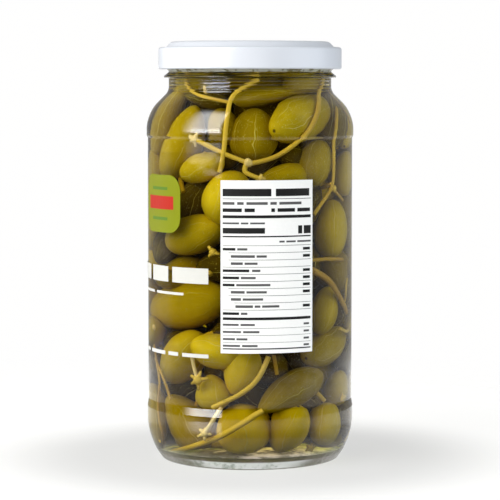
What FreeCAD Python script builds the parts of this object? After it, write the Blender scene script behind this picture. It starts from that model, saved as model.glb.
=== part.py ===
import FreeCAD, Part
import math
import os

# A twist-off jar of caperberries in brine. Millimetres, +Z up the jar's axis, origin at the
# middle of the base, the printed front towards -Y.

# Glass body
jarHeight = 188.2          # standing ring to the finish's sealing rim
bodyRadius = 47.6          # the two bumper bands, the widest glass
labelRecess = 0.55         # depth of the label panel below the bumper bands
wallThickness = 2.4        # glass behind the label panel
standInset = 7.1           # outer edge of the standing ring, inside the widest glass
standWidth = 3.6
heelHeight = 10.0          # corner that the heel's long arc rounds off
heelRound = 27.0
lowerBandTop = 24.6        # the lower bumper ends and the label panel begins
upperBandHeight = 9.9      # upper bumper band, up to the shoulder's corner
bandStep = 3.4             # height over which a bumper blends into the label panel
shoulderSlope = 45.0       # degrees from level
shoulderRound = 16.5
neckRound = 5.0

# Base
baseThickness = 5.0        # glass above the standing ring
puntHeight = 4.0           # push-up under the middle of the base
puntRadius = 16.0
puntRound = 60.0
puntLip = 1.0              # small step inside the standing ring
innerPuntRise = 3.6
innerHeelRound = 12.0

# Neck, transfer bead and twist-off finish; the drops are measured down from the rim
finishRadius = 38.8
finishWall = 4.6           # glass between the bore and the finish's wall
neckInset = 1.45           # neck inside the finish's wall
beadReach = 0.8            # bead outside the finish's wall
beadThickness = 2.6
finishDrop = 9.6           # the finish's wall starts above this
beadDrop = 12.6            # flat underside of the bead
neckDrop = 18.75           # corner between the shoulder's slope and the neck
rimRound = 1.3

# Lead threads of the finish, one for each lug of the lid
leadCount = 6
leadReach = 1.4            # a lead stands out of the finish's wall
leadWidth = 1.8            # height of one lead's section
leadAngle = 42.0           # degrees round the neck
leadDrop = 2.2             # fall of a lead from its mouth to its stop
leadStop = 0.8             # share of a lead that falls; the rest is level, and the lug rests there
leadRoot = 0.6             # depth of a lead's foot in the wall

# Lid, pressed from thin painted steel
sheet = 0.3
curlClearance = 0.3        # lead threads to the curl's inside
skirtHeight = 10.0
channelWidth = 4.7         # flat ring over the gasket
crownRise = 2.6            # raised ring above the channel
crownSlope = 1.3           # half the width of the slope between the two
crownRound = 2.4
crownWidth = 6.4
panelDrop = 0.8            # middle panel below the crown
buttonRadius = 14.0        # vacuum button in the middle
buttonRise = 0.5
pressRound = 1.1
curlRadius = 0.65
lugAngle = 15.0
lugThickness = 1.2
lugClearance = 0.35        # lug tips to the finish's wall
seatClearance = 0.05       # lugs to the undersides of the leads

# Gasket of soft compound in the lid's channel
gasketThickness = 1.0
gasketClearance = 0.5
gasketClimbGap = 0.25      # keeps the compound's facets off the sloping sheet

# Contents
brineDrop = 7.2            # level of the brine below the rim
fillClearance = 0.2        # keeps the contents' facets off the glass

# Clear printed label, wrapped round most of the panel
labelThickness = 0.1
labelGap = 0.15            # adhesive, and room for the glass's facets
labelMargin = 3.6          # bare glass above and below the label
labelStart = -158.0        # degrees from the front (-Y), positive towards +X
labelEnd = 38.0

# Sizes that follow from those above
labelRadius = bodyRadius - labelRecess
standRadius = bodyRadius - standInset
neckRadius = finishRadius - neckInset
boreRadius = finishRadius - finishWall
beadRadius = finishRadius + beadReach
leadRadius = finishRadius + leadReach
neckHeight = jarHeight - neckDrop
beadHeight = jarHeight - beadDrop
finishHeight = jarHeight - finishDrop
brineHeight = jarHeight - brineDrop

up = FreeCAD.Vector(0, 0, 1)
centre = FreeCAD.Vector(0, 0, 0)


def cornerArc(before, corner, after, radius):
    # Start, middle and end of the arc that rounds one corner, or the corner alone.
    toBefore = (before - corner).normalize()
    toAfter = (after - corner).normalize()
    half = toBefore.getAngle(toAfter) / 2
    if radius <= 0 or half > math.radians(89.9):
        return [corner]
    reach = radius / math.tan(half)
    middle = (toBefore + toAfter).normalize()
    hub = corner + middle * (radius / math.sin(half))
    return [corner + toBefore * reach, hub - middle * radius, corner + toAfter * reach]


def fittedRadii(corners):
    # A rounding is cut down where two of them would meet on one side of the outline.
    points = [FreeCAD.Vector(r, 0, z) for r, z, _ in corners]
    count = len(points)
    reaches = []
    for i, (_, _, radius) in enumerate(corners):
        toBefore = points[i - 1] - points[i]
        toAfter = points[(i + 1) % count] - points[i]
        half = toBefore.getAngle(toAfter) / 2
        reaches.append(radius / math.tan(half) if half > 0.01 else 0)
    radii = []
    for i, (_, _, radius) in enumerate(corners):
        share = 1.0
        for j in (i - 1, (i + 1) % count):
            length = (points[j] - points[i]).Length
            wanted = reaches[i] + reaches[j]
            if wanted > 0.999 * length:
                share = min(share, 0.999 * length / wanted)
        radii.append(radius * share)
    return radii


def outline(corners):
    # Closed face in the XZ plane through corners (r, z, rounding).
    points = [FreeCAD.Vector(r, 0, z) for r, z, _ in corners]
    radii = fittedRadii(corners)
    count = len(points)
    stretches = []
    for i in range(count):
        stretches.append(cornerArc(points[i - 1], points[i], points[(i + 1) % count], radii[i]))
    edges = []
    for i, stretch in enumerate(stretches):
        if len(stretch) == 3:
            edges.append(Part.Arc(*stretch).toShape())
        following = stretches[(i + 1) % count][0]
        if (following - stretch[-1]).Length > 1e-6:
            edges.append(Part.LineSegment(stretch[-1], following).toShape())
    return Part.Face(Part.Wire(edges))


def sheetOutline(path, thickness):
    # Section of a formed sheet: path is its middle line, as corners (r, z, rounding).
    points = [FreeCAD.Vector(r, 0, z) for r, z, _ in path]
    sides = {1: [], -1: []}
    last = len(points) - 1
    for i, (_, _, radius) in enumerate(path):
        ahead = (points[min(i + 1, last)] - points[max(i, 0) if i < last else last - 1]).normalize()
        behind = (points[i] - points[i - 1]).normalize() if i > 0 else ahead
        left = FreeCAD.Vector(-(ahead.z + behind.z), 0, ahead.x + behind.x).normalize()
        spread = left.dot(FreeCAD.Vector(-ahead.z, 0, ahead.x))
        turn = behind.x * ahead.z - behind.z * ahead.x
        for side, corners in sides.items():
            place = points[i] + left * (side * thickness / 2 / spread)
            bend = radius - math.copysign(thickness / 2, turn * side) if radius > 0 else 0
            corners.append((place.x, place.z, max(bend, 0)))
    return outline(sides[1] + sides[-1][::-1])


def turned(face, angle=360.0, start=0.0):
    # Solid of revolution about the jar's axis; angles are measured from the front (-Y).
    solid = face.revolve(centre, up, angle)
    solid.rotate(centre, up, start - 90)
    return solid


def polygonAt(section, angle, rise):
    # A closed section (r, z) stood up at one angle round the jar.
    points = [FreeCAD.Vector(r, 0, z + rise) for r, z in section]
    wire = Part.makePolygon(points + points[:1])
    wire.rotate(centre, up, angle - 90)
    return wire


def shoulderCorner(radius, offset):
    # Where the shoulder's slope, moved inward by offset, meets a cylinder of this radius.
    slope = math.radians(shoulderSlope)
    return neckHeight - (radius - neckRadius) * math.tan(slope) - offset / math.cos(slope)


def innerCorners(offset, top):
    # Corners of the glass's inside, moved inward by offset, from the axis up to the top.
    inner = labelRadius - wallThickness - offset
    bore = boreRadius - offset
    floor = baseThickness + offset
    return [
        (0, floor + innerPuntRise, 0),
        (puntRadius, floor + innerPuntRise, puntRound),
        (inner - innerHeelRound, floor, innerHeelRound),
        (inner, floor, innerHeelRound),
        (inner, shoulderCorner(inner, wallThickness + offset), shoulderRound - wallThickness),
        (bore, shoulderCorner(bore, wallThickness + offset), neckRound + wallThickness),
        (bore, top, 0),
    ]


def leadUnderside():
    # Height of a lead's underside at its stop, where the lid's lug rests against it.
    skirtBottom = jarHeight + gasketThickness + sheet - skirtHeight
    return skirtBottom + lugThickness + seatClearance


def makeLead(number):
    # One lead thread: a wedge section carried down round the wall and faded in at its mouth.
    low = leadUnderside()
    foot = finishRadius - leadRoot
    steps = 6
    wires = []
    for i in range(steps + 1):
        share = i / steps
        reach = leadRadius if i > 0 else (finishRadius + leadRadius) / 2
        section = [
            (foot, low),
            (reach, low + leadWidth * 0.1),
            (reach, low + leadWidth * 0.6),
            (foot, low + leadWidth * 1.25),
        ]
        angle = number * 360.0 / leadCount + (share - leadStop) * leadAngle
        wires.append(polygonAt(section, angle, max(leadStop - share, 0) * leadDrop))
    return Part.makeLoft(wires, True, True)


def makeJar():
    upperBandBottom = shoulderCorner(bodyRadius, 0) - upperBandHeight
    outer = [
        (0, puntHeight, 0),
        (puntRadius, puntHeight, puntRound),
        (standRadius - standWidth - puntLip, puntLip, 2.0),
        (standRadius - standWidth, 0, 0.8),
        (standRadius, 0, 2.0),
        (bodyRadius, heelHeight, heelRound),
        (bodyRadius, lowerBandTop, bandStep),
        (labelRadius, lowerBandTop + bandStep, bandStep),
        (labelRadius, upperBandBottom - bandStep, bandStep),
        (bodyRadius, upperBandBottom, bandStep),
        (bodyRadius, shoulderCorner(bodyRadius, 0), shoulderRound),
        (neckRadius, shoulderCorner(neckRadius, 0), neckRound),
        (neckRadius, beadHeight, 0.4),
        (beadRadius, beadHeight, 0.5),
        (beadRadius, beadHeight + beadThickness * 0.3, 0.5),
        (neckRadius, beadHeight + beadThickness, 0.8),
        (neckRadius, finishHeight, 0.4),
        (finishRadius, finishHeight + finishRadius - neckRadius, 0.8),
        (finishRadius, jarHeight, rimRound),
        (boreRadius, jarHeight, rimRound),
    ]
    inner = innerCorners(0, jarHeight)[:-1]
    glass = turned(outline(outer + inner[::-1]))
    for number in range(leadCount):
        glass = glass.fuse(makeLead(number))
    return glass.removeSplitter()


def makeBrine():
    # The jar's inside, cut off at the liquid's level.
    inside = turned(outline(innerCorners(fillClearance, jarHeight) + [(0, jarHeight, 0)]))
    return inside.common(Part.makeCylinder(bodyRadius, brineHeight, centre, up))


def lidRadii():
    # Middle lines of the skirt, of the crown's outer wall and of its inner wall.
    skirt = leadRadius + curlClearance + 2 * curlRadius + sheet / 2
    crown = skirt + sheet / 2 - channelWidth
    return skirt, crown, crown - crownWidth


def makeLid():
    skirt, crown, panel = lidRadii()
    channel = jarHeight + gasketThickness + sheet / 2
    bottom = channel + sheet / 2 - skirtHeight + sheet / 2
    top = channel + crownRise
    face = top - panelDrop
    curl = 2 * curlRadius
    path = [
        (0, face + buttonRise, 0),
        (buttonRadius, face + buttonRise, 8.0),
        (buttonRadius + 3 * buttonRise, face, 4.0),
        (panel - panelDrop, face, pressRound),
        (panel + panelDrop, top, pressRound),
        (crown - crownSlope, top, crownRound),
        (crown + crownSlope, channel, pressRound * 0.7),
        (skirt, channel, pressRound),
        (skirt, bottom, curlRadius),
        (skirt - curl, bottom, curlRadius),
        (skirt - curl, bottom + curl, curlRadius),
        (skirt - curlRadius * 0.8, bottom + curl, 0),
    ]
    lid = turned(sheetOutline(path, sheet))
    tip = finishRadius + lugClearance
    low = bottom - sheet / 2
    lug = [
        (tip, low, 0.4),
        (skirt - sheet, low, 0.4),
        (skirt - sheet, low + lugThickness, 0),
        (tip, low + lugThickness, 0.4),
    ]
    for number in range(leadCount):
        start = number * 360.0 / leadCount - lugAngle / 2
        lid = lid.fuse(turned(outline(lug), lugAngle, start))
    return lid.removeSplitter()


def makeGasket():
    # The compound fills the channel and climbs the slope to the crown; its outer shoulder keeps
    # clear of the lid's pressed corner.
    skirt, crown, _ = lidRadii()
    outer = skirt - sheet / 2 - gasketClearance
    inner = crown - crownSlope
    top = jarHeight + gasketThickness
    climb = crownRise * 0.35
    foot = crown + crownSlope - gasketClimbGap
    section = [
        (inner, jarHeight, 0.3),
        (outer, jarHeight, 0.3),
        (outer, top - gasketThickness * 0.5, 0),
        (outer - pressRound, top, 0),
        (foot, top, 0),
        (foot - climb * 2 * crownSlope / crownRise, top + climb, 0.2),
        (inner, top + climb, 0.3),
    ]
    return turned(outline(section))


def makeLabel():
    inner = labelRadius + labelGap
    outer = inner + labelThickness
    bottom = lowerBandTop + bandStep + labelMargin
    top = shoulderCorner(bodyRadius, 0) - upperBandHeight - bandStep - labelMargin
    section = [(inner, bottom, 0), (outer, bottom, 0), (outer, top, 0), (inner, top, 0)]
    return turned(outline(section), labelEnd - labelStart, labelStart)


parts = {
    "jar": makeJar,
    "brine": makeBrine,
    "label": makeLabel,
    "gasket": makeGasket,
    "lid": makeLid,
}

os.makedirs("parts", exist_ok=True)
for node, make in parts.items():
    shape = make()
    shape.exportStep("parts/" + node + ".step")
    box = shape.BoundBox
    print(node, len(shape.Solids), shape.isValid(), "%.1f cm3" % (shape.Volume / 1000),
          "x %.1f y %.1f z %.1f..%.1f" % (box.XLength, box.YLength, box.ZMin, box.ZMax))
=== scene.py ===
import math
import random

import bmesh
import bpy
import numpy as np
from mathutils import Matrix, Vector, noise


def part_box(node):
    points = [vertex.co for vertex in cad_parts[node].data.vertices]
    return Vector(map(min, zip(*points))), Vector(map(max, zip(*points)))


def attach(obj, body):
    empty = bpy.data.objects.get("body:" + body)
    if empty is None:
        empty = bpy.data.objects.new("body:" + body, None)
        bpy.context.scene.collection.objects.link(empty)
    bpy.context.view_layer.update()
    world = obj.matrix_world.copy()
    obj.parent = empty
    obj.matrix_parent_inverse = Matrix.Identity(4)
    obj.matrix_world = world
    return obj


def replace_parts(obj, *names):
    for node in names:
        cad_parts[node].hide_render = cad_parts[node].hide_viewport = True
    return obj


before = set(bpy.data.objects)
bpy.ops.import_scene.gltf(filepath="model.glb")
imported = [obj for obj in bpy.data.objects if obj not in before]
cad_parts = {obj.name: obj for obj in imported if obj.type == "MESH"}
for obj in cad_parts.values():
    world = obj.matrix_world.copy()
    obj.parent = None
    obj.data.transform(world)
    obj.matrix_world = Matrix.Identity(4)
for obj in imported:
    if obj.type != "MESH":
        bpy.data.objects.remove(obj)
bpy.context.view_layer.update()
mm = 0.001

jarLow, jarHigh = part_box("jar")
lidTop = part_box("lid")[1].z
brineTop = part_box("brine")[1].z
filmRadius = -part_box("label")[0].y / mm
jarRadius = (jarHigh.x - jarLow.x) / 2
print("frame loaded, jar", round(jarRadius * 2000), "mm wide")


class Wire:
    # a socket that takes part in arithmetic
    def __init__(self, tree, socket):
        self.tree = tree
        self.socket = socket

    def maths(self, operation, first, second=None, clamp=False):
        node = self.tree.nodes.new("ShaderNodeMath")
        node.operation = operation
        node.use_clamp = clamp
        for place, value in enumerate((first, second)):
            if isinstance(value, Wire):
                self.tree.links.new(value.socket, node.inputs[place])
            elif value is not None:
                node.inputs[place].default_value = value
        return Wire(self.tree, node.outputs[0])

    def __add__(self, other):
        return self.maths("ADD", self, other)

    __radd__ = __add__

    def __sub__(self, other):
        return self.maths("SUBTRACT", self, other)

    def __rsub__(self, other):
        return self.maths("SUBTRACT", other, self)

    def __mul__(self, other):
        return self.maths("MULTIPLY", self, other)

    __rmul__ = __mul__

    def __pow__(self, other):
        return self.maths("POWER", self, other)

    def sine(self):
        return self.maths("SINE", self)

    def size(self):
        return self.maths("ABSOLUTE", self)

    def held(self):
        return self.maths("ADD", self, 0.0, clamp=True)

    def ramp(self, start, end, first=0.0, last=1.0):
        # first at start, last at end, soft between; start may be the larger
        rising = start < end
        node = self.tree.nodes.new("ShaderNodeMapRange")
        node.interpolation_type = "SMOOTHSTEP"
        node.inputs["From Min"].default_value = min(start, end)
        node.inputs["From Max"].default_value = max(start, end)
        node.inputs["To Min"].default_value = first if rising else last
        node.inputs["To Max"].default_value = last if rising else first
        self.tree.links.new(self.socket, node.inputs["Value"])
        return Wire(self.tree, node.outputs["Result"])


class Nodes:
    # a node tree and what is added to it
    def __init__(self, tree):
        self.tree = tree
        self.tree.nodes.clear()

    def node(self, kind, settings=None, **values):
        node = self.tree.nodes.new("ShaderNode" + kind)
        for key, value in (settings or {}).items():
            setattr(node, key, value)
        for key, value in values.items():
            wanted = key.replace("_", " ").lower()
            self.plug(next(s for s in node.inputs if s.enabled and s.name.lower() == wanted), value)
        return node

    def plug(self, socket, value):
        if isinstance(value, Wire):
            self.tree.links.new(value.socket, socket)
        elif isinstance(value, bpy.types.NodeSocket):
            self.tree.links.new(value, socket)
        elif socket.type == "RGBA" and len(value) == 3:
            socket.default_value = (*value, 1)
        else:
            socket.default_value = value

    def wire(self, node, name=0):
        return Wire(self.tree, node.outputs[name])

    def place(self, name="Object"):
        return self.node("TexCoord").outputs[name]

    def attribute(self, name):
        return self.node("Attribute", {"attribute_name": name}).outputs["Vector"]

    def split(self, vector):
        node = self.node("SeparateXYZ", Vector=vector)
        return [self.wire(node, i) for i in range(3)]

    def noise(self, scale, detail=3.0, rough=0.5):
        node = self.node("TexNoise", Vector=self.place(), Scale=scale, Detail=detail, Roughness=rough)
        return self.wire(node)

    def blend(self, first, second, amount):
        node = self.node("Mix", {"data_type": "RGBA"}, Factor=amount, A=first, B=second)
        return next(s for s in node.outputs if s.enabled)

    def bump(self, height, distance, strength):
        return self.node("Bump", Height=height, Distance=distance, Strength=strength).outputs["Normal"]

    def principled(self, **values):
        return self.node("BsdfPrincipled", **values).outputs[0]

    def mixShaders(self, share, first, second):
        node = self.node("MixShader")
        for socket, value in zip(node.inputs, (share, first, second)):
            self.plug(socket, value)
        return node.outputs[0]


class Finish(Nodes):
    # one material
    def __init__(self, name):
        self.material = bpy.data.materials.new(name)
        self.material.use_nodes = True
        super().__init__(self.material.node_tree)
        self.output = self.node("OutputMaterial")

    def surface(self, shader):
        self.plug(self.output.inputs["Surface"], shader)
        return self

    def skin(self, **values):
        return self.surface(self.principled(**values))

    def clear(self, lampTone, **values):
        # lamps shine straight through, so that what lies behind the clear piece is lit
        isLamp = self.node("LightPath").outputs["Is Shadow Ray"]
        through = self.node("BsdfTransparent", Color=lampTone).outputs[0]
        return self.surface(self.mixShaders(isLamp, self.principled(**values), through))


def addObject(name, data):
    thing = bpy.data.objects.new(name, data)
    bpy.context.scene.collection.objects.link(thing)
    return thing


def addShape(name, bm, finishes, smooth=False):
    mesh = bpy.data.meshes.new(name)
    bm.to_mesh(mesh)
    bm.free()
    for finish in finishes:
        mesh.materials.append(finish.material)
    mesh.polygons.foreach_set("use_smooth", [smooth] * len(mesh.polygons))
    return addObject(name, mesh)


def keepPiece(name, bm, finishes, smooth=True):
    # a piece of the object itself, which stays with its only body
    piece = addShape(name, bm, finishes, smooth)
    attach(piece, "root")
    return piece


def roundedLine(bm, corners):
    # edges through corners (radius, height, rounding) in mm, each corner turned into an arc
    arcStep = 4  # degrees of a turn for each piece of an arc
    nearlyStraight = 1.569  # half angle of a corner that needs no arc
    verts = [bm.verts.new((radius * mm, 0, height * mm)) for radius, height, _ in corners]
    for pair in zip(verts, verts[1:]):
        bm.edges.new(pair)
    arcs = []
    for i, (_, _, rounding) in enumerate(corners):
        if rounding == 0:
            continue
        before = verts[i - 1].co - verts[i].co
        after = verts[i + 1].co - verts[i].co
        half = before.angle(after) / 2
        if half < nearlyStraight:
            arcs.append((verts[i], rounding * mm / math.tan(half), math.pi - 2 * half))
    for vert, reach, turn in arcs:
        steps = max(3, round(math.degrees(turn) / arcStep))
        bmesh.ops.bevel(bm, geom=[vert], offset=reach, offset_type="OFFSET", segments=steps,
                        profile=0.5, affect="VERTICES", material=-1)


def spinRound(bm):
    bmesh.ops.spin(bm, geom=bm.verts[:] + bm.edges[:], cent=(0, 0, 0), axis=(0, 0, 1),
                   angle=2 * math.pi, steps=192, use_merge=True, use_duplicate=False)
    bmesh.ops.remove_doubles(bm, verts=bm.verts[:], dist=1e-6)
    bmesh.ops.recalc_face_normals(bm, faces=bm.faces[:])


shot = {"distance": 1.055, "eyeHeight": 0.176, "lens": 164.6, "sensor": 36}

eye = Vector((0, -shot["distance"], shot["eyeHeight"]))


def setCamera():
    data = bpy.data.cameras.new("camera")
    data.lens = shot["lens"]
    data.sensor_width = shot["sensor"]
    data.clip_start = 0.01
    camera = addObject("camera", data)
    camera.location = eye
    aim = Vector((0, 0, lidTop / 2))
    camera.rotation_euler = (aim - eye).to_track_quat("-Z", "Y").to_euler()
    bpy.context.scene.camera = camera


setCamera()
print("camera set")


surroundings = {
    "backdrop": 1.0,  # what shows behind the jar
    "allRound": 0.12,  # light that falls on things from all sides
    "tone": (1.0, 0.998, 0.995),
    # what mirrors in the glass: degrees from the camera's side, + to the right, and degrees up,
    # in pairs that run from none to full light, or from one level to the next; between the walls
    # hangs black cloth
    "leftWall": (-95, -107), "leftLevel": 0.36, "rightWall": (57, 69), "rightLevel": 0.46,
    "wallTop": (0.95, 0.55),  # sines of the angles where the walls end
    "softboxLeft": (-83, -59), "softboxRight": (-30, -34),
    "softboxFoot": (-2.45, -2.15), "softboxHead": (57, 41),
    "softboxRise": (1, 11), "softboxLevels": (17.5, 10.2),
    "hem": (-0.75, -0.5), "hemShare": 0.16,  # the softbox is dimmer along its foot
    # its image in the table, and the table itself with the jar's shade on it
    "imageFoot": (-36, -28), "imageHead": (-8.25, -8.29),
    "imageRise": (-24, -8.27), "imageLevels": (0.5, 4.6),
    "table": (-6.6, -7.6), "tableLevel": 0.72, "shadeMiddle": -18, "shadeEdge": (9, 6), "shadeShare": 0.4,
}


def setWorld():
    s = surroundings
    world = bpy.data.worlds.new("tent")
    bpy.context.scene.world = world
    world.use_nodes = True
    tent = Nodes(world.node_tree)
    x, y, z = tent.split(tent.place("Generated"))
    turn = x.maths("ARCTAN2", x, 0 - y) * (180 / math.pi)
    tall = z.maths("ARCSINE", z) * (180 / math.pi)
    rays = tent.node("LightPath")
    seen = (tent.wire(rays, "Is Camera Ray") + tent.wire(rays, "Is Transmission Ray")).held()
    mirrored = tent.wire(rays, "Is Glossy Ray") * (1 - seen)
    walls = turn.ramp(*s["rightWall"]) * s["rightLevel"] + turn.ramp(*s["leftWall"]) * s["leftLevel"]
    softbox = tall.ramp(*s["softboxFoot"]) * tall.ramp(*s["softboxHead"])
    softbox = softbox * tall.ramp(*s["softboxRise"], *s["softboxLevels"])
    softbox = softbox * tall.ramp(*s["hem"], s["hemShare"], 1)
    image = tall.ramp(*s["imageHead"]) * tall.ramp(*s["imageFoot"])
    image = image * tall.ramp(*s["imageRise"], *s["imageLevels"])
    across = turn.ramp(*s["softboxLeft"]) * turn.ramp(*s["softboxRight"])
    shade = (tall - s["shadeMiddle"]).size().ramp(*s["shadeEdge"], 1, s["shadeShare"])
    table = tall.ramp(*s["table"]) * shade * s["tableLevel"]
    mirror = walls * z.ramp(*s["wallTop"]) + across * (softbox + image) + table
    level = (1 - mirrored) * s["allRound"] + mirror * mirrored
    level = level * (1 - seen) + seen * s["backdrop"]
    background = tent.node("Background", Color=s["tone"], Strength=level)
    tent.node("OutputWorld", Surface=background.outputs[0])


# panels that face the jar and light it without mirroring in the glass: degrees from the
# camera's side, + to the right, degrees up, distance, width and height in m, power in W, tone
panels = {
    "softbox": (-50, 30, 1.1, 0.95, 1.15, 14.2, (1.0, 0.995, 0.98)),
    "rightPanel": (75, 12, 1.1, 1.2, 1.2, 8.8, (0.88, 0.94, 1.0)),
    "frontPanel": (0, -2, 1.3, 1.0, 1.0, 4.4, (1, 1, 1)),
    "leftPanel": (-105, 12, 1.1, 1.0, 1.2, 6.0, (1, 1, 1)),
}


def addPanel(name, azimuth, elevation, distance, width, height, power, tone):
    side, lift = math.radians(azimuth), math.radians(elevation)
    offset = Vector((math.sin(side) * math.cos(lift), -math.cos(side) * math.cos(lift), math.sin(lift)))
    aim = Vector((0, 0, lidTop * 0.6))
    data = bpy.data.lights.new(name, "AREA")
    data.shape = "RECTANGLE"
    data.size, data.size_y = width, height
    data.energy = power
    data.color = tone
    data.cycles.use_multiple_importance_sampling = False
    lamp = addObject(name, data)
    lamp.location = aim + offset * distance
    lamp.rotation_euler = (-offset).to_track_quat("-Z", "Y").to_euler()


floorLook = {
    "paper": ((0.19, 0.19, 0.187), (0.21, 0.21, 0.207)), "light": (1.0, 1.0, 0.985),
    # the paper's glow is painted light, weaker near the jar: painted shade round the jar's foot
    "paintedShadeNearJar": (0.070, 0.140), "glow": (0.60, 0.86),  # the paper glows less near the jar
    "edge": (0.16, 0.40),  # it melts into the backdrop between these radii
}


def makeFloor():
    finish = Finish("floorPaper")
    x, y, _ = finish.split(finish.place())
    reach = (x * x + y * y) ** 0.5
    # painted light: the paper glows, and glows less near the jar, which paints shade round its foot
    paper = finish.principled(Base_Color=finish.blend(*floorLook["paper"], finish.noise(30, 4)),
                              Roughness=0.7, Specular_IOR_Level=0.2, Emission_Color=floorLook["light"],
                              Emission_Strength=reach.ramp(*floorLook["paintedShadeNearJar"], *floorLook["glow"]))
    clear = finish.node("BsdfTransparent").outputs[0]
    finish.surface(finish.mixShaders(reach.ramp(*floorLook["edge"]), paper, clear))
    bm = bmesh.new()
    bmesh.ops.create_circle(bm, cap_ends=True, segments=96, radius=floorLook["edge"][1])
    floor = addShape("floor", bm, [finish])
    floor.visible_glossy = False


def setRays():
    # enough bounces for glass, brine and glass again
    bpy.context.scene.view_settings.view_transform = "Standard"
    cycles = bpy.context.scene.cycles
    cycles.max_bounces = 24
    cycles.transmission_bounces = 24
    cycles.transparent_max_bounces = 32
    cycles.diffuse_bounces = 4
    cycles.caustics_refractive = False
    cycles.caustics_reflective = False


setWorld()
makeFloor()
for panel, values in panels.items():
    addPanel(panel, *values)
setRays()
print("light set")


# radii and heights in mm, as the jar was blown
glass = {
    "wall": 2.4, "floor": 5.0, "floorRise": 3.6, "floorFlat": 16, "floorRound": 60, "innerHeel": 12,
    "puntHeight": 4.0, "standRadius": 40.5, "ringWidth": 3.6, "heelHeight": 10.0, "heelRound": 27.0,
    "bandRadius": 47.59, "panelRadius": 47.05, "lowerBandTop": 24.6, "bandStep": 3.4, "upperStep": 1.1,
    "upperBandHeight": 9.9, "shoulderRound": 16.5, "neckRadius": 37.35, "neckHeight": 169.45,
    "neckRound": 5.0, "beadRadius": 39.6, "beadHeight": 175.6, "beadThickness": 2.6,
    "finishRadius": 38.8, "finishHeight": 178.6, "lipRound": 1.3, "boreRadius": 34.2,
    "stippleHeight": 5.6, "soleRadius": 37.0, "flare": (178.3, 180.1),
    "index": 1.5, "brineIndex": 1.34, "brineLevel": brineTop / mm,
}


def shoulderAt(radius, offset=0.0):
    # height of the 45 degree shoulder at this radius
    return glass["neckHeight"] - (radius - glass["neckRadius"]) - offset * math.sqrt(2)


def outsideLine():
    # (radius, height, rounding) from the middle of the punt up to the bore
    g = glass
    band, panel, neck, stand = g["bandRadius"], g["panelRadius"], g["neckRadius"], g["standRadius"]
    bead, finish, top = g["beadHeight"], g["finishHeight"], jarHigh.z / mm
    shoulder = shoulderAt(band)
    upperBand = shoulder - g["upperBandHeight"]
    panelLow, panelHigh = g["lowerBandTop"] + g["bandStep"], upperBand - g["upperStep"]
    spare = 1.5  # rings by the steps keep the long face even
    return [
        (0, g["puntHeight"], 0), (g["floorFlat"], g["puntHeight"], g["floorRound"]),
        (stand - g["ringWidth"] - 1, 1, 2), (stand - g["ringWidth"], 0, 0.8), (stand, 0, 2),
        (band, g["heelHeight"], g["heelRound"]), (band, g["lowerBandTop"], g["bandStep"]),
        (panel, panelLow, g["bandStep"]), (panel, panelLow + spare, 0), (panel, panelHigh - spare, 0),
        (panel, panelHigh, g["upperStep"]), (band, upperBand, g["upperStep"]),
        (band, shoulder, g["shoulderRound"]), (neck, g["neckHeight"], g["neckRound"]),
        (neck, bead, 0.4), (g["beadRadius"], bead, 0.5),
        (g["beadRadius"], bead + g["beadThickness"] * 0.3, 0.5), (neck, bead + g["beadThickness"], 0.8),
        (neck, finish, 0.4), (g["finishRadius"], finish + g["finishRadius"] - neck, 0.8),
        (g["finishRadius"], top, g["lipRound"]), (g["boreRadius"], top, g["lipRound"]),
    ]


def insideLine(grow=0.0):
    # the inside of the glass from the axis up to the neck; grow moves it into the wall
    g = glass
    inner = g["panelRadius"] - g["wall"] + grow
    bore = g["boreRadius"] + grow
    floor = g["floor"] - grow
    return [
        (0, floor + g["floorRise"], 0), (g["floorFlat"], floor + g["floorRise"], g["floorRound"]),
        (inner - g["innerHeel"], floor, g["innerHeel"]), (inner, floor, g["innerHeel"]),
        (inner, shoulderAt(inner, g["wall"] - grow), g["shoulderRound"] - g["wall"]),
        (bore, shoulderAt(bore, g["wall"] - grow), g["neckRound"] + g["wall"]),
    ]


glassLook = {
    "clear": (0.985, 0.992, 0.982), "green": (0.80, 0.91, 0.83), "greenBelow": (0.016, 0.003),
    "rings": 3900, "ringsAbove": (0.1690, 0.1705),  # faint rings that the mould left in the neck
    "black": (0, 0, 0),
    # the foot's colours hold painted light, pale patches, and painted shade: a dark foot line, a dark top
    # band and darker turned faces
    "baseDark": (0.42, 0.48, 0.42), "paintedBaseLight": (0.96, 1.0, 0.97), "paintedBaseEdgeShade": (0.16, 0.18, 0.12),
    "paintedBaseTopShade": (0.05, 0.045, 0.012), "paintedBaseTurnShade": (0.14, 0.13, 0.07),
    # the flare's pale colour is painted light
    "flareDark": (0.30, 0.28, 0.14), "paintedFlareLight": (0.86, 0.87, 0.74),
    # the sole's pale colour and its glow are painted light; its dark rim is painted shade
    "soleBrine": (0.66, 0.57, 0.26), "paintedSoleLight": (1.0, 0.97, 0.86), "paintedSoleRimShade": (0.12, 0.11, 0.05),
    "soleShade": (0.045, 0.028, 0.01), "soleLight": (0.74, 0.55, 0.92), "rim": (0.0325, 0.035),
}


def glassFinish(name, **values):
    # brine against glass hardly reflects, so the wet one is given a black reflection
    look = glassLook
    finish = Finish(name)
    z = finish.split(finish.place())[2]
    ripple = finish.noise(60, 2) + finish.noise(14, 1) * 3
    ripple = ripple + (z * look["rings"]).sine() * z.ramp(*look["ringsAbove"]) * 2.2
    tint = finish.blend(look["clear"], look["green"], z.ramp(*look["greenBelow"]))
    return finish.clear((0.97, 0.985, 0.97), Base_Color=tint, Roughness=0.0, IOR=glass["index"],
                        Transmission_Weight=1.0, Normal=finish.bump(ripple, 0.0004, 0.25), **values)


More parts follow.
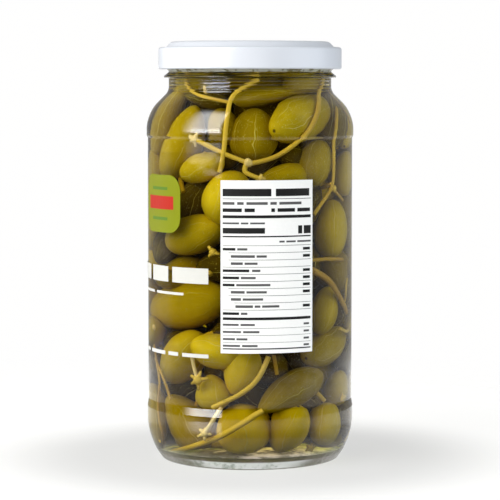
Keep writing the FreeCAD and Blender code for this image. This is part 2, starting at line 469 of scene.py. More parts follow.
def baseFinish():
    # the stippled foot of the jar, with painted light and shade in its colour: pale patches where the bright
    # floor would show through, a dark line at its foot, a dark band along its top, and darker where it turns
    # away from view
    look = glassLook
    finish = Finish("baseGlass")
    z = finish.split(finish.place())[2]
    streaks = finish.noise(420, 3, 0.6)
    patches = (streaks * 0.5 + finish.noise(70, 2) * 0.5).ramp(0.37, 0.53)
    turned = finish.wire(finish.node("LayerWeight", Blend=0.5), "Facing").ramp(0.34, 0.52)
    # painted light and shade: pale patches, a dark foot line, a dark top band, darker where the face turns
    # away
    tint = finish.blend(look["baseDark"], look["paintedBaseLight"], patches)
    tint = finish.blend(tint, look["paintedBaseEdgeShade"], z.ramp(0.0009, 0.0002) * 0.8)
    tint = finish.blend(tint, look["paintedBaseTopShade"], z.ramp(0.0034, 0.0042) * 0.97)
    tint = finish.blend(tint, look["paintedBaseTurnShade"], turned * 0.9)
    return finish.clear((0.9, 0.93, 0.9), Base_Color=tint, Roughness=0.14, IOR=glass["index"],
                        Transmission_Weight=0.45, Specular_Tint=(0.3, 0.3, 0.3),
                        Normal=finish.bump(streaks, 0.0006, 0.5))


def soleFinish():
    # the underside: brine-coloured glass with painted light, pale patches and a glow where the table would
    # show through, and painted shade round its rim
    look = glassLook
    finish = Finish("soleGlass")
    x, y, _ = finish.split(finish.place())
    clouds = finish.noise(130, 3, 0.6).ramp(0.50, 0.62)
    rim = ((x * x + y * y) ** 0.5).ramp(*look["rim"])
    tint = finish.blend(finish.blend(look["soleBrine"], look["paintedSoleLight"], clouds), look["paintedSoleRimShade"], rim)
    glow = finish.blend(finish.blend(look["soleShade"], look["soleLight"], clouds), look["black"], rim)
    return finish.clear((0.85, 0.82, 0.65), Base_Color=tint, Roughness=0.05, IOR=glass["index"],
                        Transmission_Weight=1.0, Emission_Color=glow, Emission_Strength=0.9)


def flareFinish():
    # the flare under the lid, pale with painted light where the backdrop would shine through it
    finish = Finish("ringGlass")
    specks = finish.noise(260, 3, 0.6).ramp(0.38, 0.52)
    tint = finish.blend(glassLook["flareDark"], glassLook["paintedFlareLight"], specks)
    return finish.clear((0.9, 0.92, 0.88), Base_Color=tint, Roughness=0.2, IOR=glass["index"],
                        Transmission_Weight=0.3)


def glassZone(face):
    # which finish a face of the jar has: 0 clear, 1 against the brine, 2 base, 3 sole, 4 flare
    g = glass
    x, y, height = face.calc_center_median() / mm
    radius = math.hypot(x, y)
    inwards = face.normal.x * x + face.normal.y * y < 0
    low, high = g["flare"]
    if low < height < high and radius > g["neckRadius"] - 0.05 and not inwards:
        return 4
    if face.normal.z < -0.3 and radius < g["soleRadius"] and height < g["floor"]:
        return 3
    if height < g["stippleHeight"] and radius > g["soleRadius"] and not inwards:
        return 2
    wetWall = inwards and radius < jarRadius / mm - g["wall"] * 0.6 and height > g["floor"] - 0.5
    wetFloor = face.normal.z > 0.5 and radius < 34 and height < 12
    return int(height < g["brineLevel"] and (wetWall or wetFloor))


def makeGlass():
    bm = bmesh.new()
    roundedLine(bm, outsideLine() + insideLine()[::-1])
    spinRound(bm)
    for face in bm.faces:
        face.material_index = glassZone(face)
    finishes = [
        glassFinish("clearGlass"), glassFinish("wetGlass", Specular_Tint=glassLook["black"]),
        baseFinish(), soleFinish(), flareFinish(),
    ]
    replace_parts(keepPiece("glassJar", bm, finishes), "jar")


makeGlass()
print("jar made")


brineLook = {"tint": (0.905, 0.865, 0.20), "strength": 100.0, "intoWall": 0.25}


def makeBrine():
    # reaches a little into the wall, so that no air shows between them
    finish = Finish("brine")
    finish.clear((1, 1, 1), Base_Color=(1, 1, 1), Roughness=0.0, IOR=glass["brineIndex"],
                 Transmission_Weight=1.0, Specular_Tint=(0, 0, 0),
                 Normal=finish.bump(finish.noise(40, 2), 0.0002, 0.1))
    absorb = finish.node("VolumeAbsorption", Color=brineLook["tint"], Density=brineLook["strength"])
    finish.plug(finish.output.inputs["Volume"], absorb.outputs[0])
    bm = bmesh.new()
    level = glass["brineLevel"]
    line = insideLine(brineLook["intoWall"])
    roundedLine(bm, line + [(line[-1][0], level, 0), (0, level, 0)])
    spinRound(bm)
    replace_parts(keepPiece("brinePool", bm, [finish]), "brine")


makeBrine()
print("brine poured")


def insideRadius(height):
    # radius of the glass's inside at a height, both in mm
    g = glass
    inner = g["panelRadius"] - g["wall"]
    heel = g["innerHeel"]
    if height < g["floor"] + heel:
        drop = min(max((g["floor"] + heel - height) / heel, 0), 1)
        return inner - heel + heel * math.sqrt(max(1 - drop * drop, 0))
    slope = g["neckRadius"] + g["neckHeight"] - g["wall"] * math.sqrt(2) - height
    return max(min(inner, slope - 1.0), g["boreRadius"])


def floorAt(reach):
    # the jar's floor rises towards its middle
    outer = glass["panelRadius"] - glass["wall"] - glass["innerHeel"]
    share = (outer - reach) / (outer - glass["floorFlat"])
    return glass["floor"] + glass["floorRise"] * min(max(share, 0), 1)


def pressInside(place):
    # a point in mm, pressed in where it would reach past the inside of the glass
    reach = math.hypot(place.x, place.y)
    height = min(max(place.z, floorAt(reach) + 0.35), glass["brineLevel"] - 0.3)
    limit = insideRadius(height) - 0.3
    inwards = min(1, limit / max(reach, 1e-6))
    return Vector((place.x * inwards, place.y * inwards, height))


def bendRay(ray, normal, ratio):
    cosine = -ray.dot(normal)
    rest = 1 - ratio * ratio * (1 - cosine * cosine)
    return (ray * ratio + normal * (ratio * cosine - math.sqrt(max(rest, 0)))).normalized()


def reachCylinder(start, ray, radius):
    # first point of the ray on a cylinder round the axis
    a = ray.x ** 2 + ray.y ** 2
    b = start.x * ray.x + start.y * ray.y
    c = start.x ** 2 + start.y ** 2 - radius ** 2
    root = b * b - a * c
    if root < 0:
        return start - ray * (b / a)
    return start + ray * ((-b - math.sqrt(root)) / a)


def seenPoint(across, up, depth):
    # place, in mm, of a thing that shows at (across, up) on the jar's middle plane
    # when it lies at this depth behind the inside of the glass
    start = eye / mm
    ray = (Vector((across, 0, up)) - start).normalized()
    inner = insideRadius(up)
    outer = inner + glass["wall"]
    index, brineIndex = glass["index"], glass["brineIndex"]
    point = reachCylinder(start, ray, outer)
    ray = bendRay(ray, Vector((point.x, point.y, 0)).normalized(), 1 / index)
    point = reachCylinder(point, ray, inner)
    ray = bendRay(ray, Vector((point.x, point.y, 0)).normalized(), index / brineIndex)
    return reachCylinder(point, ray, inner - depth)


berryLook = {
    "total": 168, "length": (22, 31), "width": (15, 19.5), "taper": (0.05, 0.4), "seed": 7,
    "fine": (26, 18), "plain": (16, 11),  # faces round and along a berry
    # berries behind the front ones are given painted shade
    "ripeness": (0.38, 0.25), "shadeDepth": 8, "shadeReach": 34,  # those behind the front ones are dark
    "dark": ((0.13, 0.086, 0.002), (0.27, 0.180, 0.004)),
    "ripe": ((0.66, 0.475, 0.008), (0.90, 0.67, 0.015)),
    "paintedShade": (0.05, 0.031, 0.001), "vein": (0.80, 0.69, 0.26), "speck": (0.66, 0.60, 0.22),
    "tip": (0.06, 0.035, 0.01),
}

# how the loose berries settle: rounds, rounds between searches for neighbours, how far those may be,
# how much they give, shares of push, drift and turning, and the room kept free in mm
shaking = {
    "rounds": 260, "searchEvery": 12, "neighbour": 27, "squeeze": 0.95, "push": 0.35, "drift": 0.05,
    "turning": 1.6, "frontRoom": 11, "wallRoom": 0.4, "floorRoom": 1.5, "topRoom": 0.5,
}

# the front berries, with both ends given as they show: mm across from the axis, mm up from the base
frontBerries = [
    # stem end, far end, width, gap to the glass, ripeness 0 dark olive to 1 bright, and below 0 painted
    # shade;
    # where they aren't the usual ones: how much it narrows to the stem, and the share of the width
    # that the far end lies behind the gap
    ((-7.8, 161.8), (28, 168.4), 13.5, 2.6, 0.24, 0.15, 0.5),
    ((-30, 170), (-44.5, 139), 13, 1.2, 0.2),
    ((-25, 158.6), (-39, 129.5), 18, 2.8, 0.45),
    ((2.5, 159), (1, 136.5), 20.5, 2.9, 0.13),
    ((36.5, 159.5), (11, 151), 18, 2.9, 0.38, 0.1, -0.05),
    ((44.5, 163), (43.5, 144), 13, 2.2, 0.6),
    ((44.5, 142), (43.5, 121), 14, 2.2, 0.6),
    ((33, 147), (27, 125.5), 17, 1.5, 0.3),
    ((-12.5, 138), (-32, 130.5), 13.5, 2.4, 0.65),
    ((-5.5, 132.5), (-14.5, 107.5), 21.5, 1.6, 0.95),
    ((29.5, 132.5), (4, 126), 12.5, 3.6, 0.55),
    ((-13, 107.5), (-38.5, 99), 18.5, 1.2, 0.62),
    ((38, 119.5), (37, 92), 17.5, 2.4, 0.6),
    ((36.5, 79), (31.5, 56.5), 14, 3.2, 0.45),
    ((-13, 74), (-45, 67), 23, 1.4, 0.75),
    ((-27.5, 52), (-3, 47), 16.5, 1.2, 0.95),
    ((-23, 56.5), (-38.5, 36), 19.5, 2.9, 0.62),
    ((43.5, 58), (26, 45.5), 17, 1.5, 0.35),
    ((-18, 38), (-17.5, 21), 17.5, 3, 0.6, 0.4, 0.5),
    ((-8, 28.5), (1, 50), 17, 3, 0.95, 0.42, 0.5),
    ((4, 20), (33.5, 38.8), 18, 1.2, 0.22, 0.42, 0.5),
    ((-3, 19), (-5, 0), 22.5, 2.8, 1),
    ((12.5, -3), (22.5, 17.3), 18, 1.2, 0.75, 0.3, 0.5),
    ((36, 25), (32.5, 6), 16, 1.4, 0.6, 0.1, 0.12),
    ((-38, 27), (-18, 3), 20, 3.1, 0.45, 0.34, 0.5),
    ((-30, 9), (-26, -3), 12, 6, 0.3),
    ((42, 40), (40, 22), 14, 2.2, 0.4),
    ((30, 6), (41, 8), 10, 5, 0.3),
    ((-46, 96), (-45, 118), 13, 1, 0.4),
    ((-44, 14), (-37, 1), 12, 3, 0.3),
    ((-22, 3), (-8, 1), 10, 9, 0.3),
    ((14, 2), (-2, 0), 10, 12, 0.3),
    ((-16.5, 158), (-8, 145.5), 13, 8, 0.1),
    ((-31, 163.5), (-11, 161.5), 9.5, 6, -0.45),
    ((-45, 143), (-44, 122), 12, 1.5, 0.3),
    ((14, 140), (25, 139), 11, 9, -0.6),
]

# berries jammed in the neck: degrees from the camera's side, distance from the axis and height in mm
neckBerries = [
    (62, 24, 172), (108, 23, 171), (152, 24, 172), (198, 24, 171), (244, 23, 172), (292, 24, 171),
    (20, 8, 172), (200, 6, 173),
]


def frontBerry(stemEnd, farEnd, width, gap, tone, taper=0.1, tip=0.5):
    # a berry that shows at the front, lifted where it would sink into the floor
    a, b = seenPoint(*stemEnd, gap + width / 2), seenPoint(*farEnd, gap + width * tip)
    slope = (b - a).normalized().z
    half = math.hypot((b - a).length / 2 * slope, width / 2 * math.sqrt(1 - slope * slope))
    lift = Vector((0, 0, max(glass["floor"] + 0.6 - ((a.z + b.z) / 2 - half), 0)))
    return a + lift, b + lift, width, tone, taper


def scatterBerries():
    # stem end, far end, width, ripeness and, of the front ones, narrowing, before the shaking
    draw = np.random.default_rng(berryLook["seed"])
    berries = [frontBerry(*row) for row in frontBerries]
    for azimuth, reach, height in neckBerries:
        angle = math.radians(azimuth)
        centre = Vector((math.sin(angle) * reach, -math.cos(angle) * reach, height))
        along = Vector((math.cos(angle), math.sin(angle), draw.uniform(-0.12, 0.12)))
        along *= draw.uniform(11.5, 13)
        width = draw.uniform(14.5, 16.5)
        berries.append((centre - along, centre + along, width, draw.uniform(0.1, 0.4), None))
    while len(berries) < berryLook["total"]:
        angle, height = draw.uniform(0, 2 * math.pi), draw.uniform(14, glass["brineLevel"] - 14)
        reach = (insideRadius(height) - 8) * math.sqrt(draw.uniform(0.02, 1))
        centre = Vector((math.cos(angle) * reach, math.sin(angle) * reach, height))
        lean = Vector(draw.normal(size=3))
        lean.z *= 0.8
        length = draw.uniform(*berryLook["length"])
        half = lean.normalized() * length / 2
        width = min(draw.uniform(*berryLook["width"]), length * 0.75)
        tone = float(np.clip(draw.normal(*berryLook["ripeness"]), 0, 1))
        # painted shade: berries behind the front ones are pushed below ripeness 0, towards a dark shade
        # colour
        if centre.y < -berryLook["shadeDepth"] and abs(centre.x) < berryLook["shadeReach"]:
            tone = tone * 0.35 - 0.5
        berries.append((centre - half, centre + half, width, tone, None))
    return berries


def layBerries():
    # shakes the loose berries until they lie beside each other inside the glass
    s = shaking
    stems, tips, widths, tones, tapers = zip(*scatterBerries())
    first, last = np.array([list(a) for a in stems]), np.array([list(b) for b in tips])
    radius = np.array(widths) / 2
    length = np.linalg.norm(last - first, axis=1)
    count = len(length)
    loose = np.arange(count) >= len(frontBerries) + len(neckBerries)
    shares = (0.26, 0.5, 0.74)  # three balls stand for one berry
    fat = np.stack([radius * 0.86, radius, radius * 0.88], axis=1).ravel()
    owner = np.repeat(np.arange(count), 3)
    heights = np.arange(0, 190.0, 1.0)
    profile = np.array([insideRadius(h) for h in heights])
    floor, top = glass["floor"] + s["floorRoom"], glass["brineLevel"] - s["topRoom"]
    for turn in range(s["rounds"]):
        balls = np.stack([first + (last - first) * share for share in shares], axis=1).reshape(-1, 3)
        if turn % s["searchEvery"] == 0:
            spread = np.linalg.norm(balls[:, None, :] - balls[None, :, :], axis=2)
            one, other = np.nonzero((spread < s["neighbour"]) & (owner[:, None] < owner[None, :]))
        gap = balls[one] - balls[other]
        distance = np.linalg.norm(gap, axis=1) + 1e-9
        overlap = np.clip((fat[one] + fat[other]) * s["squeeze"] - distance, 0, None)
        push = gap * (overlap / distance * s["push"])[:, None]
        moved = balls.copy()
        np.add.at(moved, one, push)
        np.add.at(moved, other, -push)
        outwards = np.hypot(balls[:, 0], balls[:, 1]) + 1e-9
        moved[:, :2] += balls[:, :2] / outwards[:, None] * s["drift"]
        moved[:, 2] = np.clip(moved[:, 2], floor + fat, top - fat)
        reach = np.hypot(moved[:, 0], moved[:, 1]) + 1e-9
        front = np.clip((-moved[:, 1] / reach - 0.1) / 0.3, 0, 1)  # room for the berries in front
        wall = np.interp(moved[:, 2], heights, profile) - fat - s["wallRoom"] - front * s["frontRoom"]
        moved[:, :2] *= np.minimum(1, wall / reach)[:, None]
        shift = (moved - balls).reshape(count, 3, 3)
        shift[~loose] = 0
        middle = (first + last) / 2 + shift.mean(axis=1)
        lean = (last - first) + (shift[:, 2] - shift[:, 0]) * s["turning"]
        lean /= np.linalg.norm(lean, axis=1)[:, None]
        first[loose] = (middle - lean * length[:, None] / 2)[loose]
        last[loose] = (middle + lean * length[:, None] / 2)[loose]
    return first, last, widths, tones, tapers


def addBerry(crowd, stemEnd, farEnd, width, tone, taper, draw, faces):
    # one berry from its stem end to its far end, all in mm
    bm = bmesh.new()
    skin = bm.verts.layers.float_vector.new("skin")
    look = bm.verts.layers.float_vector.new("look")
    axis = Vector(farEnd - stemEnd)
    bow = draw.uniform(-0.12, 0.12)
    lobes, phase = draw.choice((3, 4, 5)), draw.uniform(0, 6)
    seed = Vector((draw.uniform(0, 50), draw.uniform(0, 50), draw.uniform(0, 50)))
    made = bmesh.ops.create_uvsphere(bm, u_segments=faces[0], v_segments=faces[1], radius=1)["verts"]
    for vert in made:
        x, y, z = vert.co
        vert[skin] = vert.co
        vert[look] = (tone, seed.x / 50, seed.y / 50)
        thin = 1 - taper * max((1 - z) / 2, 0) ** 1.6
        ridge = 1 + 0.018 * math.cos(lobes * math.atan2(y, x) + phase) * (1 - z * z)
        lump = 1 + 0.05 * noise.noise(vert.co * 1.3 + seed) + 0.012 * noise.noise(vert.co * 5 + seed)
        fat = thin * ridge * lump
        vert.co = Vector((x * fat + bow * (1 - z * z), y * fat, z))
    turn = axis.to_track_quat("Z", "Y").to_matrix().to_4x4()
    place = (Matrix.Translation((stemEnd + farEnd) / 2 * mm) @ turn
             @ Matrix.Rotation(draw.uniform(0, 6.28), 4, "Z")
             @ Matrix.Diagonal((width / 2 * mm, width / 2 * mm, axis.length / 2 * mm, 1)))
    bmesh.ops.transform(bm, matrix=place, verts=made)
    for vert in made:
        vert.co = pressInside(vert.co / mm) * mm
    bmesh.ops.recalc_face_normals(bm, faces=bm.faces[:])
    berry = bpy.data.meshes.new("berry")
    bm.to_mesh(berry)
    bm.free()
    crowd.from_mesh(berry)
    bpy.data.meshes.remove(berry)


def berrySkin():
    look = berryLook
    finish = Finish("berrySkin")
    x, y, z = finish.split(finish.attribute("skin"))
    tone, seedA, seedB = finish.split(finish.attribute("look"))
    angle = x.maths("ARCTAN2", x, y) + (finish.noise(90, 2) - 0.5) * 0.9
    veins = (angle * 2.5 + seedA * 6).sine().size().ramp(0.075, 0.0)
    veins = veins + (angle * 5.5 + seedB * 9).sine().size().ramp(0.10, 0.0, 0, 0.3)
    veins = veins * z.size().ramp(1.0, 0.75) * finish.noise(70, 1).ramp(0.40, 0.58, 0.3, 1.0)
    mottle = finish.noise(160, 4, 0.6)
    dark = finish.blend(*look["dark"], mottle)
    ripe = finish.blend(*look["ripe"], mottle)
    body = finish.blend(dark, ripe, (tone + (finish.noise(45, 2) - 0.5) * 0.5).held())
    # painted shade for ripeness below 0
    body = finish.blend(body, look["paintedShade"], tone.ramp(0.0, -0.5, 0, 0.85))
    body = finish.blend(body, look["vein"], veins * 0.75)
    body = finish.blend(body, look["speck"], finish.noise(1400, 1).ramp(0.63, 0.70, 0, 0.35))
    body = finish.blend(body, look["tip"], z.ramp(0.990, 0.995, 0, 0.9))
    height = mottle * 0.4 + veins * 0.5
    return finish.skin(Base_Color=body, Roughness=0.42, IOR=1.4, Specular_IOR_Level=0.06,
                       Normal=finish.bump(height, 0.0004, 0.5))


def makeBerries():
    draw = random.Random(berryLook["seed"])
    bm = bmesh.new()
    bm.verts.layers.float_vector.new("skin")
    bm.verts.layers.float_vector.new("look")
    first, last, *rest = layBerries()
    for stemEnd, farEnd, width, tone, taper in zip(first, last, *rest):
        faces = berryLook["fine"]
        if taper is None:
            taper, faces = draw.uniform(*berryLook["taper"]), berryLook["plain"]
        addBerry(bm, Vector(stemEnd), Vector(farEnd), width, tone, taper, draw, faces)
    keepPiece("caperberries", bm, [berrySkin()])
    return first, last


berryStems, berryTips = makeBerries()
print("berries laid", len(berryStems))


stemLook = {
    "width": 2.1, "looseShare": 0.6, "length": (9, 24), "seed": 11,
    "ochre": (0.36, 0.20, 0.025), "yellow": (0.68, 0.455, 0.05), "cream": (0.84, 0.66, 0.36),
    "speck": (0.16, 0.09, 0.015),
}

# lines of stems that show at the front: (across, up) points, depth, width,
# tone 0 ochre, 0.5 yellow, 1 cream
frontStems = [
    ([(4, 174.8), (-4, 170.5), (-8.8, 165.5), (-10.6, 157), (-11.6, 147), (-12.4, 139), (-14, 132)],
     1.7, 2.3, 0.5),
    ([(-29.4, 173.7), (-27.5, 169.5), (-24.5, 166.3), (-19, 164.8), (-9.8, 163)], 1.6, 2.0, 0.3),
    ([(-26, 147.6), (-20, 144.5), (-10, 139.6), (-1, 136.4)], 1.8, 2.2, 0.55),
    ([(33.6, 174), (31.6, 169), (32.2, 163), (30.5, 156.5), (26, 149.5), (17, 142), (9, 137.6), (0, 136)],
     1.7, 2.3, 0.3),
    ([(-1.5, 136), (-3.2, 133), (-0.5, 130.8), (5, 129)], 1.8, 2.2, 0.5),
    ([(38.6, 166), (38.4, 150), (38.8, 138), (38.4, 125), (34, 119), (29.5, 112.5)], 1.6, 1.9, 0.32),
    ([(46, 154), (42, 161.5), (35.5, 168)], 1.2, 1.3, 0.1),
    ([(39, 123.5), (43, 119)], 1.5, 1.6, 0.2),
    ([(28, 91.2), (36, 92.2), (43, 91.6)], 1.5, 1.8, 0.2),
    ([(28, 87), (35.5, 83.5), (40.5, 76.5), (45, 67)], 1.7, 3.2, 0.1),
    ([(-27, 47.5), (-26.2, 41), (-24.4, 36)], 1.6, 1.9, 0.75),
    ([(8.6, 46.5), (6.2, 40), (2, 33.5), (-5, 28.3), (-12, 25), (-17.6, 22.4)], 1.8, 2.4, 0.55),
    ([(-13.3, 22.5), (-16.5, 17.5), (-20.6, 11)], 1.6, 1.9, 0.85),
    ([(6, 21), (-2, 16), (-12, 10), (-22, 6.3), (-32.5, 3.4)], 1.9, 2.8, 0.5),
    ([(-44.5, 52), (-43, 42), (-41.6, 33), (-43, 26), (-42, 17), (-38.5, 8.5), (-35.5, 5)], 1.4, 1.7, 0.15),
    ([(-44, 46), (-41, 38), (-38.4, 31.5), (-37, 26.5)], 1.4, 1.7, 0.15),
    ([(11, 47), (12, 42), (12.5, 38)], 3.5, 1.8, 0.1),
]

# flower rests: across, up, size, number of pointed leaves
frontFlowers = [
    (-25.3, 147.4, 3.3, 5), (-0.8, 136.4, 2.1, 0), (4.8, 129, 2.7, 4), (38.6, 124.4, 1.7, 0),
    (-24.2, 35.6, 4.3, 5), (-20.8, 10.6, 3.3, 5), (-17, 95, 3.4, 3), (43, 27, 2.8, 4),
    (26, 5, 2.8, 5), (-44.5, 60, 1.5, 0), (-18.8, 85, 1.4, 0),
]


def stemSkin():
    look = stemLook
    finish = Finish("stemSkin")
    grain = finish.noise(300, 4, 0.6)
    shade = (finish.split(finish.attribute("look"))[0] + (finish.noise(60, 2) - 0.5) * 0.5).held()
    tone = finish.blend(look["ochre"], look["yellow"], shade.ramp(0.0, 0.5))
    tone = finish.blend(tone, look["cream"], shade.ramp(0.5, 0.95))
    tone = finish.blend(tone, look["speck"], grain.ramp(0.62, 0.75, 0, 0.6))
    return finish.skin(Base_Color=tone, Roughness=0.45, Specular_IOR_Level=0.1,
                       Normal=finish.bump(grain, 0.0004, 0.6))


def stemTube(points, width, taper=0.85):
    # a smooth tube through control points given in mm
    curve = bpy.data.curves.new("stem", "CURVE")
    curve.dimensions = "3D"
    curve.bevel_depth = width / 2 * mm
    curve.bevel_resolution = 2
    curve.use_fill_caps = True
    spline = curve.splines.new("NURBS")
    spline.points.add(len(points) - 1)
    for i, (point, place) in enumerate(zip(spline.points, points)):
        point.co = (*(Vector(place) * mm), 1)
        point.radius = 1 - (1 - taper) * i / (len(points) - 1)
    spline.order_u = 3
    spline.use_endpoint_u = True
    spline.resolution_u = 4
    holder = bpy.data.objects.new("stem", curve)
    mesh = bpy.data.meshes.new_from_object(holder)
    bpy.data.objects.remove(holder)
    bpy.data.curves.remove(curve)
    return mesh


def addMesh(bm, mesh, tone):
    # add a mesh and give its points a tone
    look = bm.verts.layers.float_vector["look"]
    before = len(bm.verts)
    bm.from_mesh(mesh)
    bm.verts.ensure_lookup_table()
    for vert in bm.verts[before:]:
        vert[look] = (tone, 0, 0)
        vert.co = pressInside(vert.co / mm) * mm
    bpy.data.meshes.remove(mesh)


def flowerMesh(place, size, leaves, draw):
    # a lumpy knot, some with pointed leaves round it
    bm = bmesh.new()
    knotSize = size * (0.55 if leaves else 1.0) * mm
    knot = bmesh.ops.create_icosphere(bm, subdivisions=2, radius=knotSize)["verts"]
    seed = Vector((draw.uniform(0, 50), 0, 0))
    for vert in knot:
        vert.co *= 1 + 0.35 * noise.noise(vert.co * 900 + seed)
    away = Vector((place.x, place.y, 0)).normalized()
    facing = away.to_track_quat("Z", "Y").to_matrix().to_4x4()
    for i in range(leaves):
        length = size * draw.uniform(0.8, 1.15) * mm
        leaf = bmesh.ops.create_cone(bm, cap_ends=True, segments=6, radius1=1.35 * mm, radius2=0.55 * mm,
                                     depth=length)["verts"]
        tilt = Matrix.Rotation(math.radians(draw.uniform(72, 95)), 4, "Y")
        spin = Matrix.Rotation(2 * math.pi * (i + draw.uniform(-0.2, 0.2)) / leaves, 4, "Z")
        outwards = Matrix.Translation((0, 0, length / 2))
        bmesh.ops.transform(bm, matrix=facing @ spin @ tilt @ outwards, verts=leaf)
    bmesh.ops.transform(bm, matrix=Matrix.Translation(place * mm), verts=bm.verts[:])
    mesh = bpy.data.meshes.new("flower")
    bm.to_mesh(mesh)
    bm.free()
    return mesh


def looseLine(stemEnd, farEnd, draw):
    # a stem that leaves a berry along its axis and bends aside
    away = Vector(stemEnd - farEnd).normalized()
    side = away.orthogonal().normalized()
    side.rotate(Matrix.Rotation(draw.uniform(0, 6.28), 3, away))
    length = draw.uniform(*stemLook["length"])
    points = [Vector(stemEnd) - away * 1.5]
    for share in (0.35, 0.7, 1.0):
        place = Vector(stemEnd) + away * length * share + side * length * 0.35 * share ** 2
        height = min(max(place.z, glass["floor"] + 5), glass["brineLevel"] - 2)
        reach = math.hypot(place.x, place.y)
        limit = insideRadius(height) - 1.8
        inwards = min(1, limit / max(reach, 1e-6))
        points.append(Vector((place.x * inwards, place.y * inwards, height)))
    return points


def makeStems():
    draw = random.Random(stemLook["seed"])
    bm = bmesh.new()
    bm.verts.layers.float_vector.new("look")
    for line, depth, width, tone in frontStems:
        points = [seenPoint(across, up, depth) for across, up in line]
        addMesh(bm, stemTube(points, width, 0.95), tone)
    for across, up, size, leaves in frontFlowers:
        addMesh(bm, flowerMesh(seenPoint(across, up, 2.0), size, leaves, draw), draw.uniform(0.45, 0.85))
    hidden = slice(len(frontBerries), None)
    for stemEnd, farEnd in zip(berryStems[hidden], berryTips[hidden]):
        if draw.random() > stemLook["looseShare"]:
            continue
        points = looseLine(stemEnd, farEnd, draw)
        width = stemLook["width"] * draw.uniform(0.75, 1.15)
        addMesh(bm, stemTube(points, width), draw.uniform(0.1, 0.7))
    keepPiece("stems", bm, [stemSkin()])


makeStems()
print("stems laid")


lidLook = {"enamel": (0.70, 0.73, 0.785), "dust": (0.86, 0.86, 0.85)}
gasketLook = {"compound": (0.80, 0.80, 0.77), "worn": (0.74, 0.73, 0.69)}
filmLook = {"tone": (0.01, 0.01, 0.01), "opacity": 0.04}


def dressNode(node, finish):
    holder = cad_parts[node]
    holder.data.materials.clear()
    holder.data.materials.append(finish.material)


def enamelFinish():
    finish = Finish("lidEnamel")
    dust = finish.noise(260, 4, 0.7).ramp(0.70, 0.80, 0, 0.3)
    tone = finish.blend(lidLook["enamel"], lidLook["dust"], dust)
    return finish.skin(Base_Color=tone, Roughness=0.36, Coat_Weight=0.3, Coat_Roughness=0.24,
                       Normal=finish.bump(finish.noise(900, 2), 0.00002, 0.3))


def compoundFinish():
    finish = Finish("gasketCompound")
    grain = finish.noise(500, 3)
    tone = finish.blend(gasketLook["compound"], gasketLook["worn"], grain)
    return finish.skin(Base_Color=tone, Roughness=0.6, Normal=finish.bump(grain, 0.0001, 0.4))


def filmFinish():
    finish = Finish("labelFilm")
    return finish.skin(Base_Color=filmLook["tone"], Roughness=0.08, Alpha=filmLook["opacity"],
                       Normal=finish.bump(finish.noise(30, 2), 0.0002, 0.2))


dressNode("lid", enamelFinish())
dressNode("gasket", compoundFinish())
dressNode("label", filmFinish())
print("lid and label dressed")


arc = math.radians(1) * filmRadius  # mm along the film for one degree round the jar


def inkFinish(name, colour):
    finish = Finish(name)
    shade = tuple(c * 0.93 for c in colour)
    tone = finish.blend(shade, colour, finish.noise(1200, 2))
    return finish.skin(Base_Color=tone, Roughness=0.45, Specular_IOR_Level=0.1)


def addPatch(bm, left, right, low, high, ink=0, corner=0.0):
    # a flat patch of print, bent round the jar later: left, right in mm along the film
    made = bmesh.ops.create_grid(bm, x_segments=1, y_segments=1, size=0.5)["verts"]
    bmesh.ops.scale(bm, vec=(right - left, high - low, 1), verts=made)
    bmesh.ops.translate(bm, vec=((left + right) / 2, (low + high) / 2, 0), verts=made)
    for face in {f for v in made for f in v.link_faces}:
        face.material_index = ink
    if corner:
        bmesh.ops.bevel(bm, geom=made, offset=corner, offset_type="OFFSET", segments=6, profile=0.5,
                        affect="VERTICES", material=-1)


def bendPrint(bm, lift):
    # cuts the flat print (mm along the film, mm up) into narrow strips and rolls it round the jar
    strip = 2
    spread = [v.co.x for v in bm.verts]
    cut = math.ceil(min(spread) / strip) * strip
    while cut < max(spread):
        bmesh.ops.bisect_plane(bm, geom=bm.verts[:] + bm.edges[:] + bm.faces[:], dist=1e-5,
                               plane_co=(cut, 0, 0), plane_no=(1, 0, 0))
        cut += strip
    for vert in bm.verts:
        angle = vert.co.x / filmRadius
        reach = (filmRadius + lift) * mm
        vert.co = Vector((math.sin(angle) * reach, -math.cos(angle) * reach, vert.co.y * mm))
    bmesh.ops.recalc_face_normals(bm, faces=bm.faces[:])
    for face in bm.faces:
        middle = face.calc_center_median()
        if face.normal.x * middle.x + face.normal.y * middle.y < 0:
            face.normal_flip()


def keepPrint(name, bm, lift, **inks):
    bendPrint(bm, lift)
    finishes = [inkFinish(ink, colour) for ink, colour in inks.items()]
    keepPiece(name, bm, finishes, smooth=False)


# the white panel: degrees from the camera's side and heights in mm
panelPrint = {
    "start": -16.0, "end": 36.0, "low": 53.5, "high": 130.4, "lift": 0.03,
    "margin": 1.0, "rowStep": 3.18, "firstRow": 99.9, "ruled": 1.6,
    "white": (0.93, 0.93, 0.91), "black": (0.012, 0.012, 0.012), "grey": (0.10, 0.10, 0.10),
}

# the table's rows: how far they are set in, and where their words stand, as shares of the panel's width
panelRows = [
    (0, ((0, 0.14), (0.16, 0.27))), (0.09, ((0.09, 0.35), (0.37, 0.48))),
    (0.09, ((0.09, 0.22), (0.24, 0.38))), (0, ((0, 0.29), (0.32, 0.41))), (0, ((0, 0.18), (0.2, 0.36))),
    (0, ((0, 0.13), (0.15, 0.52))), (0.09, ((0.09, 0.24), (0.26, 0.48))),
    (0.09, ((0.09, 0.2), (0.22, 0.44))), (0.18, ((0.14, 0.33), (0.35, 0.41), (0.43, 0.62))),
    (0, ((0, 0.18), (0.2, 0.27))),
]
rowsWithoutShare = (2, 7, 9)


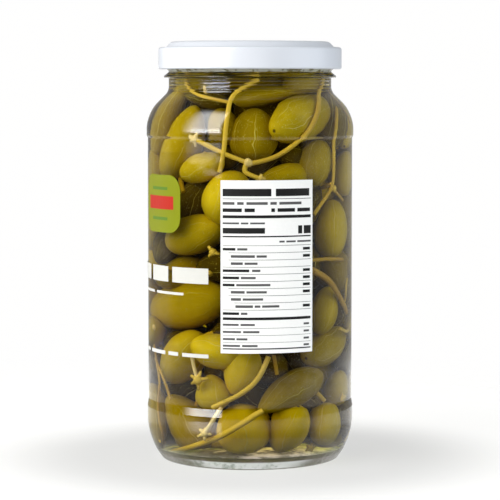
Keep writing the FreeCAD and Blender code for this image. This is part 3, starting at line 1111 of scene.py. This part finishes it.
def makePanel():
    p = panelPrint
    left, right = p["start"] * arc, p["end"] * arc
    bm = bmesh.new()
    addPatch(bm, left, right, p["low"], p["high"])
    keepPrint("whitePanel", bm, p["lift"], panelWhite=p["white"])
    bm = bmesh.new()
    inner = left + p["margin"]
    wide = right - left - 2 * p["margin"]

    def bar(up, thick, *spans, ink=0):
        # spans are shares of the panel's width; ink 0 black, 1 grey
        for start, end in spans or ((0, 1),):
            addPatch(bm, inner + wide * start, inner + wide * end, up - thick / 2, up + thick / 2, ink)

    bar(125.0, 3.3, (0, 0.53), (0.58, 0.98))
    bar(122.2, 0.25)
    bar(120.2, 1.2, (0, 0.13), (0.16, 0.23), (0.26, 0.49), (0.52, 0.59), (0.62, 0.88), ink=1)
    bar(117.2, 1.6, (0, 0.21), (0.24, 0.35), (0.53, 0.57), (0.6, 0.8), (0.83, 0.99))
    bar(114.3, 1.3)
    bar(111.4, 0.8, (0, 0.18), (0.2, 0.28), (0.3, 0.46), ink=1)
    bar(108.1, 2.5, (0, 0.46))
    bar(108.4, 3.6, (0.84, 0.89), (0.91, 1.0))
    bar(105.5, 0.6)
    bar(103.2, 0.8, (0.62, 0.68), (0.7, 0.81), (0.83, 1.0), ink=1)
    for i, (inset, words) in enumerate(panelRows):
        up = p["firstRow"] - i * p["rowStep"]
        bar(up + p["ruled"], 0.18, (inset * 0.7, 1.0))
        bar(up, 1.15, words[0], ink=1 if inset else 0)
        bar(up, 1.0, *words[1:], ink=1)
        if i not in rowsWithoutShare:
            bar(up, 1.2, (0.9, 0.99))
    bar(69.0, 1.2)
    for up, end in ((66.3, 0.35), (63.1, 0.4), (59.9, 0.27), (56.9, 0.38)):
        bar(up, 0.9, (0, end * 0.5), (end * 0.56, end), (0.91, 0.98), ink=1)
        bar(up - 1.55, 0.14)
    bar(55.6, 0.45)
    keepPrint("panelPrint", bm, p["lift"] * 2, panelBlack=p["black"], panelGrey=p["grey"])


# the front of the label: a plain green field with bars, and plain white bars
frontPrint = {
    "middle": -60.0, "fieldWidth": 31.0, "fieldLow": 106.0, "fieldHigh": 132.0, "corner": 7.0, "lift": 0.03,
    "green": (0.215, 0.245, 0.003), "deepGreen": (0.09, 0.19, 0.015), "red": (0.45, 0.02, 0.01),
    "white": (0.66, 0.66, 0.62),
}

# bars on the field: half their length as a share of the field's half, lowest and highest above its foot, ink
fieldBars = [(0.72, 10.5, 16.5, 0), (0.45, 19.2, 20.6, 1), (0.45, 5.6, 7.0, 1)]

# rows of white bars: lowest and highest in mm, and where the bars start and end in degrees from the middle
whiteRows = [
    (84.0, 91.0, ((-37, -12), (-8.5, 9), (12.5, 37))),
    (78.4, 79.6, ((-22, -6), (-3, 21))),
    (50.9, 52.6, ((-26, -14), (-11, 6), (9, 17), (20, 37))),
]


def makeFront():
    f = frontPrint
    middle = f["middle"] * arc
    half = f["fieldWidth"] / 2
    bm = bmesh.new()
    addPatch(bm, middle - half, middle + half, f["fieldLow"], f["fieldHigh"], corner=f["corner"])
    keepPrint("greenField", bm, f["lift"], fieldGreen=f["green"])
    bm = bmesh.new()
    for share, low, high, ink in fieldBars:
        reach = half * share
        addPatch(bm, middle - reach, middle + reach, f["fieldLow"] + low, f["fieldLow"] + high, ink)
    for low, high, bars in whiteRows:
        for start, end in bars:
            addPatch(bm, middle + start * arc, middle + end * arc, low, high, ink=2)
    keepPrint("frontBars", bm, f["lift"] * 2, barRed=f["red"], barGreen=f["deepGreen"], barWhite=f["white"])


makePanel()
makeFront()
print("label printed")
